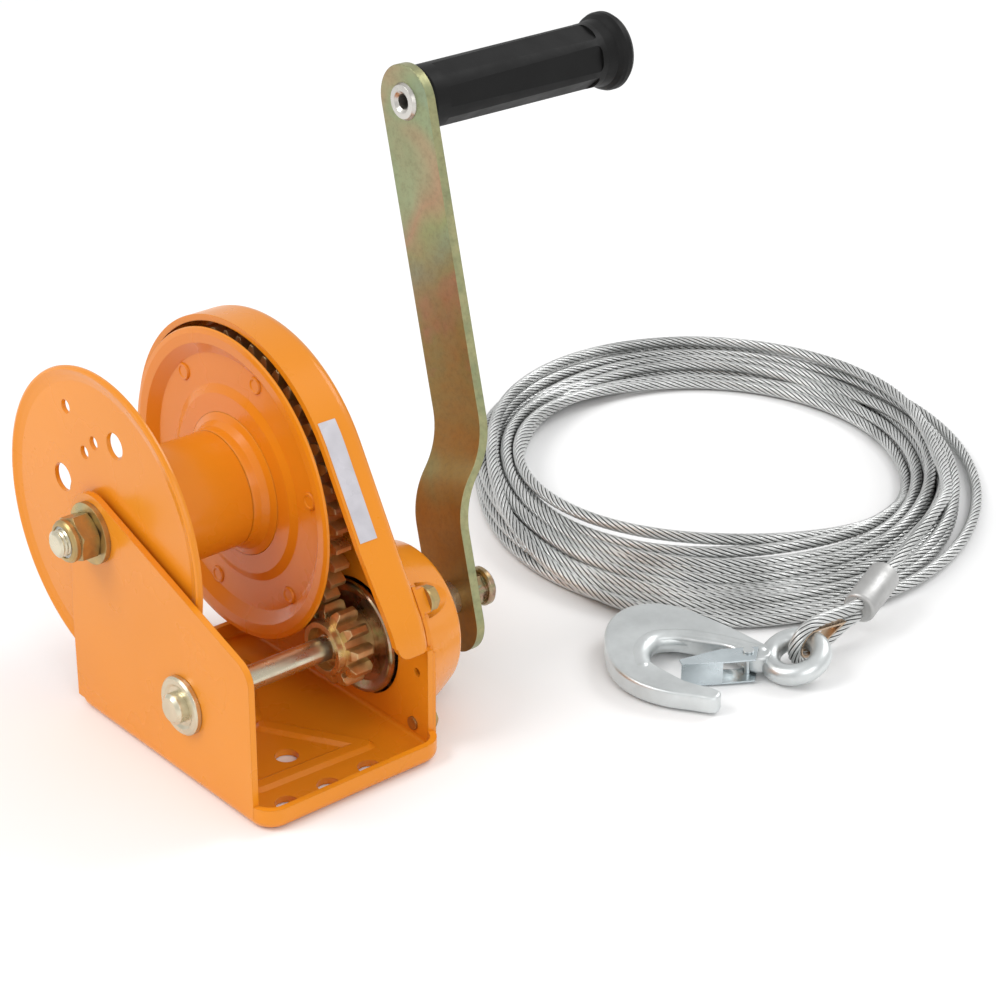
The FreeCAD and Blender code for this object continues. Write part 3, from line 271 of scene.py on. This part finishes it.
# ---------------------------------------------------------------- rope
ROPE_D = 0.006
STRANDS = 8
LAY = 0.038
RING_PER_STRAND = 3
GROOVE_REACH = 0.82            # groove's distance from the rope's middle, as a share of its radius
ROPE_STEP = 0.0032             # distance between the rope's rings
EYE_STEP = 0.0012
COIL_TURN = math.radians(49)
# centre and half axes of the coil's open middle, in mm along the turned axes
COIL_U, COIL_V, COIL_A, COIL_B = 218.5, 259.0, 100.0, 111.0
TURNS = 13
POINTS_PER_TURN = 20
# a turn moves over to the next one's place from this angle on, over this many degrees
SHIFT_START, SHIFT_SPAN = 210.0, 130.0
WANDER = 1.1                   # mm that a turn strays from its place

# the stretch from the ferrule onto the coil
TAIL = ((106.5, 293.0, 20.0), (98.5, 320.0, 25.0), (88.0, 350.0, 28.5), (74.5, 377.5, 27.5))

# where each turn lies in the bundle, in mm from the coil's inner edge and up from the floor,
# counted from the outermost turn: on the right, at the back, on the left and at the front
SLOTS = {
    "right": ((16.0, 22.0), (40.0, 3.2), (27.0, 3.2), (28.0, 9.2), (21.0, 3.2), (21.5, 9.2), (22.0, 15.2),
              (14.5, 3.2), (15.0, 9.2), (15.5, 15.2), (8.5, 3.2), (8.0, 9.4), (3.2, 4.5)),
    "back": ((38.0, 15.2), (52.0, 3.2), (45.0, 3.2), (38.0, 3.2), (42.0, 9.2), (31.5, 3.2), (34.0, 9.2),
             (25.0, 3.2), (26.0, 9.2), (18.0, 3.2), (18.5, 9.2), (11.0, 3.2), (4.0, 3.2)),
    "left": ((17.0, 20.6), (23.5, 3.2), (23.5, 9.2), (23.0, 15.0), (16.8, 3.2), (16.8, 9.2), (16.4, 15.0),
             (10.0, 3.2), (10.0, 9.2), (9.5, 15.0), (3.2, 3.2), (3.2, 9.2), (3.6, 15.0)),
    "front": ((59.5, 3.2), (53.0, 3.2), (46.5, 3.2), (40.0, 3.4), (41.0, 9.2), (33.5, 3.2), (34.0, 9.4),
              (27.0, 3.2), (27.5, 9.4), (21.0, 9.2), (21.5, 15.4), (14.5, 14.6), (4.5, 21.5)),
}
ORDER = ("right", "back", "left", "front")


def coil_point(turn, degrees):
    """Point of the coil's line: turn 0 is the outermost; the angle goes anticlockwise from the right."""
    quarter = (degrees / 90.0) % 4
    first, second = ORDER[int(quarter) % 4], ORDER[(int(quarter) + 1) % 4]
    share = quarter - int(quarter)
    share = share * share * (3 - 2 * share)
    shift = min(1.0, max(0.0, (degrees - SHIFT_START) / SHIFT_SPAN))
    shift = shift * shift * (3 - 2 * shift)
    following = min(turn + 1, TURNS - 1)

    def slot(station):
        (in_a, up_a), (in_b, up_b) = SLOTS[station][turn], SLOTS[station][following]
        return Vector((in_a + (in_b - in_a) * shift, up_a + (up_b - up_a) * shift))

    inward, up = slot(first).lerp(slot(second), share)
    angle = math.radians(degrees)
    place = Vector((math.cos(angle) * 1.7 + 5.1 * turn, math.sin(angle) * 1.7, turn * 3.3))
    wander = WANDER * noise.noise(place)
    inner = Vector((COIL_U + COIL_A * math.cos(angle), COIL_V + COIL_B * math.sin(angle)))
    outward = Vector((math.cos(angle) / COIL_A, math.sin(angle) / COIL_B)).normalized()
    flat = inner + outward * (inward + wander)
    x = flat.x * math.cos(COIL_TURN) - flat.y * math.sin(COIL_TURN)
    y = flat.x * math.sin(COIL_TURN) + flat.y * math.cos(COIL_TURN)
    return Vector((x, y, up)) * MM


def rope_route():
    """Control points from the ferrule to the free end inside the coil."""
    points = [Vector(p) * MM for p in TAIL]
    step = 360.0 / POINTS_PER_TURN
    for count in range(TURNS * POINTS_PER_TURN):
        turn, part = divmod(count, POINTS_PER_TURN)
        degrees = part * step
        points.append(coil_point(turn, degrees))
    return points


def smooth_line(points):
    """Evenly read points of the NURBS line that has these control points."""
    curve = bpy.data.curves.new("line", "CURVE")
    curve.dimensions = "3D"
    curve.resolution_u = 8
    spline = curve.splines.new("NURBS")
    spline.points.add(len(points) - 1)
    for target, point in zip(spline.points, points):
        target.co = (*point, 1.0)
    spline.order_u = 3
    spline.use_endpoint_u = True
    holder = bpy.data.objects.new("line", curve)
    mesh = bpy.data.meshes.new_from_object(holder)
    line = [v.co.copy() for v in mesh.vertices]
    bpy.data.objects.remove(holder)
    bpy.data.meshes.remove(mesh)
    bpy.data.curves.remove(curve)
    return line


def evenly(line, step):
    """The same line with points a fixed distance apart."""
    result = [line[0]]
    left = step
    for a, b in zip(line, line[1:]):
        length = (b - a).length
        while length >= left > 0:
            a = a.lerp(b, left / length)
            result.append(a.copy())
            length = (b - a).length
            left = step
        left -= length
    result.append(line[-1])
    return result


def laid_rope(name, line, diameter, material):
    """Tube whose surface is a ring of strands that wind round the line."""
    radius = diameter / 2
    ring = RING_PER_STRAND * STRANDS
    vertices, faces, uvs = [], [], []
    normal = (line[1] - line[0]).orthogonal().normalized()
    travelled = 0.0
    lengths = []
    for i, point in enumerate(line):
        ahead = line[min(i + 1, len(line) - 1)] - line[max(i - 1, 0)]
        ahead.normalize()
        normal = (normal - ahead * normal.dot(ahead)).normalized()
        side = ahead.cross(normal)
        if i:
            travelled += (point - line[i - 1]).length
        lengths.append(travelled)
        twist = 2 * math.pi * travelled / LAY
        for k in range(ring):
            angle = twist + 2 * math.pi * k / ring
            reach = radius * (1.0 if k % RING_PER_STRAND else GROOVE_REACH)
            vertices.append(point + (normal * math.cos(angle) + side * math.sin(angle)) * reach)
    for i in range(len(line) - 1):
        for k in range(ring):
            a, b = i * ring + k, i * ring + (k + 1) % ring
            faces.append((a, b, b + ring, a + ring))
            u0, u1 = lengths[i] / diameter, lengths[i + 1] / diameter
            v0, v1 = k / RING_PER_STRAND, (k + 1) / RING_PER_STRAND
            uvs += [(u0, v0), (u0, v1), (u1, v1), (u1, v0)]
    faces.append(tuple(reversed(range(ring))))
    faces.append(tuple(range((len(line) - 1) * ring, len(line) * ring)))
    uvs += [(0.0, 0.25)] * (2 * ring)
    mesh = bpy.data.meshes.new(name)
    mesh.from_pydata(vertices, [], faces)
    layer = mesh.uv_layers.new(name="rope")
    for corner, uv in zip(layer.data, uvs):
        corner.uv = uv
    for polygon in mesh.polygons:
        polygon.use_smooth = True
    mesh.materials.append(material)
    piece = bpy.data.objects.new(name, mesh)
    bpy.context.scene.collection.objects.link(piece)
    return piece


def make_rope():
    material = wire_rope()
    route = rope_route()
    line = evenly(smooth_line(route), ROPE_STEP)
    rope = laid_rope("rope", line, ROPE_D, material)
    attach(rope, "rope")
    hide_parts("rope_coil", "rope_tail")
    length = sum((b - a).length for a, b in zip(line, line[1:]))
    print("rope length", round(length, 3))
    on_rope = [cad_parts[n] for n in ("ferrule", "thimble", "hook", "latch", "latch_pin")]
    on_rope.append(make_eye(material))


# ---------------------------------------------------------------- rope eye
FERRULE_END = Vector((116.0, 264.5, 15.6)) * MM
EYE_END = Vector((120.0, 217.0, 12.6)) * MM
EYE_UP = Vector((0.13, -0.11, 0.98))
EYE_HALF_WIDTH = 0.0098


def make_eye(material):
    """The rope's own loop through the hook, from the ferrule and back into it."""
    along = (EYE_END - FERRULE_END)
    length = along.length
    along.normalize()
    normal = along.cross(EYE_UP).normalized()
    across = normal.cross(along)
    shape = ((0.0, 0.003), (0.009, 0.0034), (0.018, EYE_HALF_WIDTH * 0.62), (length - 0.012, EYE_HALF_WIDTH),
             (length - 0.003, EYE_HALF_WIDTH * 0.78), (length + 0.001, 0.0))
    side = [FERRULE_END + along * s + across * w for s, w in shape]
    back = [FERRULE_END + along * s - across * w for s, w in reversed(shape[:-1])]
    line = evenly(smooth_line(side + back), EYE_STEP)
    eye = laid_rope("eye", line, ROPE_D, material)
    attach(eye, "rope")
    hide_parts("rope_eye")
    return eye


make_rope()


# ---------------------------------------------------------------- materials on the nodes
OLIVE = (0.34, 0.33, 0.18)
PINK = (0.50, 0.33, 0.24)
TEAL = (0.28, 0.38, 0.30)
BRONZE = (0.36, 0.25, 0.12)


def dress(material, *names):
    for name in names:
        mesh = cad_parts[name].data
        mesh.materials.clear()
        mesh.materials.append(material)


def dress_nodes():
    dress(painted_orange(), "base_channel", "gear_guard", "brake_cover", "drum_barrel", "near_flange",
          "far_flange", "barrel_welds", "flange_rivets")
    dress(arm_zinc(), "crank_arm")
    dress(yellow_zinc("fastener_zinc", 60.0, ((0.30, OLIVE), (0.5, (0.54, 0.38, 0.15)), (0.7, BRONZE))),
          "cover_bolts", "cover_washers", "axle_washers", "axle_nut", "axle_spacers", "end_washer")
    tints = ((0.30, TEAL), (0.42, BRONZE), (0.54, PINK), (0.66, OLIVE), (0.76, PINK))
    dress(yellow_zinc("tinted_zinc", 90.0, tints, (0.18, 0.30), 0.95), "pressure_disc", "end_nut")
    dress(yellow_zinc("gear_zinc", 40.0, ((0.30, (0.62, 0.47, 0.23)), (0.5, (0.76, 0.60, 0.32)),
                                          (0.7, (0.52, 0.38, 0.19)))), "drum_gear", "pinion")
    dress(bright_zinc("shaft_zinc", (0.72, 0.66, 0.50)), "drum_axle", "pinion_shaft", "shaft_washer")
    dress(bright_zinc("spindle_zinc", (0.66, 0.64, 0.60)), "grip_spindle", "grip_washer", "drive_hub")
    dress(bright_zinc("hook_zinc", (0.74, 0.77, 0.77), (0.30, 0.46)), "hook", "latch_pin")
    dress(bright_zinc("latch_zinc", (0.66, 0.73, 0.76), (0.2, 0.3)), "latch")
    dress(bright_zinc("ferrule_metal", (0.58, 0.58, 0.57), (0.4, 0.6)), "ferrule")
    dress(bright_zinc("thimble_metal", (0.62, 0.46, 0.32), (0.2, 0.35)), "thimble")
    dress(plain("dark_steel", (0.20, 0.19, 0.17), 0.9, 0.4),
          "ratchet_wheel", "pawl", "pawl_pin", "pawl_spring")
    dress(plain("bronze_bush", (0.50, 0.36, 0.18), 0.9, 0.4), "shaft_bush", "cover_bush", "drum_bushes")
    dress(plain("lining", (0.10, 0.08, 0.07), 0.0, 0.8), "friction_disc_inner", "friction_disc_outer")
    dress(plain("nylon", (0.75, 0.76, 0.72), 0.0, 0.45), "axle_nut_insert")
    dress(plain("label", (0.62, 0.60, 0.64), 0.0, 0.3, 200.0, 0.02), "warning_label")
    dress(plain("grip_plastic", (0.006, 0.006, 0.006), 0.0, 0.50, 500.0, 0.1, 0.20), "grip")


dress_nodes()


# ---------------------------------------------------------------- studio
SKY = 0.76
FLOOR_GAP = 0.0003
LIT_POINT = Vector((0.0, 0.1, 0.1))
# name, place, diameter and power
LIGHTS = (
    ("key", (-0.6, -1.3, 1.7), 1.2, 19.0),
    ("fill", (1.9, -0.4, 1.1), 1.4, 9.0),
    ("back", (0.2, 1.9, 1.6), 1.2, 14.0),
)


def make_studio():
    """Pale floor, soft light from above, the left and behind."""
    mesh = bpy.data.meshes.new("floor")
    size = 6.0
    corners = [(-size, -size, 0), (size, -size, 0), (size, size, 0), (-size, size, 0)]
    mesh.from_pydata(corners, [], [(0, 1, 2, 3)])
    floor = bpy.data.objects.new("floor", mesh)
    floor.location.z = -FLOOR_GAP
    look = Look("floor")
    look.set(base_color=(0.93, 0.93, 0.93, 1.0), roughness=0.9, specular_ior_level=0.1)
    mesh.materials.append(look.material)
    bpy.context.scene.collection.objects.link(floor)

    world = bpy.data.worlds.new("studio")
    world.use_nodes = True
    background = world.node_tree.nodes["Background"]
    background.inputs["Color"].default_value = (1.0, 1.0, 1.0, 1.0)
    background.inputs["Strength"].default_value = SKY
    bpy.context.scene.world = world
    for name, location, size, power in LIGHTS:
        data = bpy.data.lights.new(name, "AREA")
        data.shape = "DISK"
        data.size = size
        data.energy = power
        lamp = bpy.data.objects.new(name, data)
        lamp.location = location
        lamp.rotation_euler = (LIT_POINT - Vector(location)).to_track_quat("-Z", "Y").to_euler()
        bpy.context.scene.collection.objects.link(lamp)
    bpy.context.scene.view_settings.view_transform = "Standard"


make_studio()
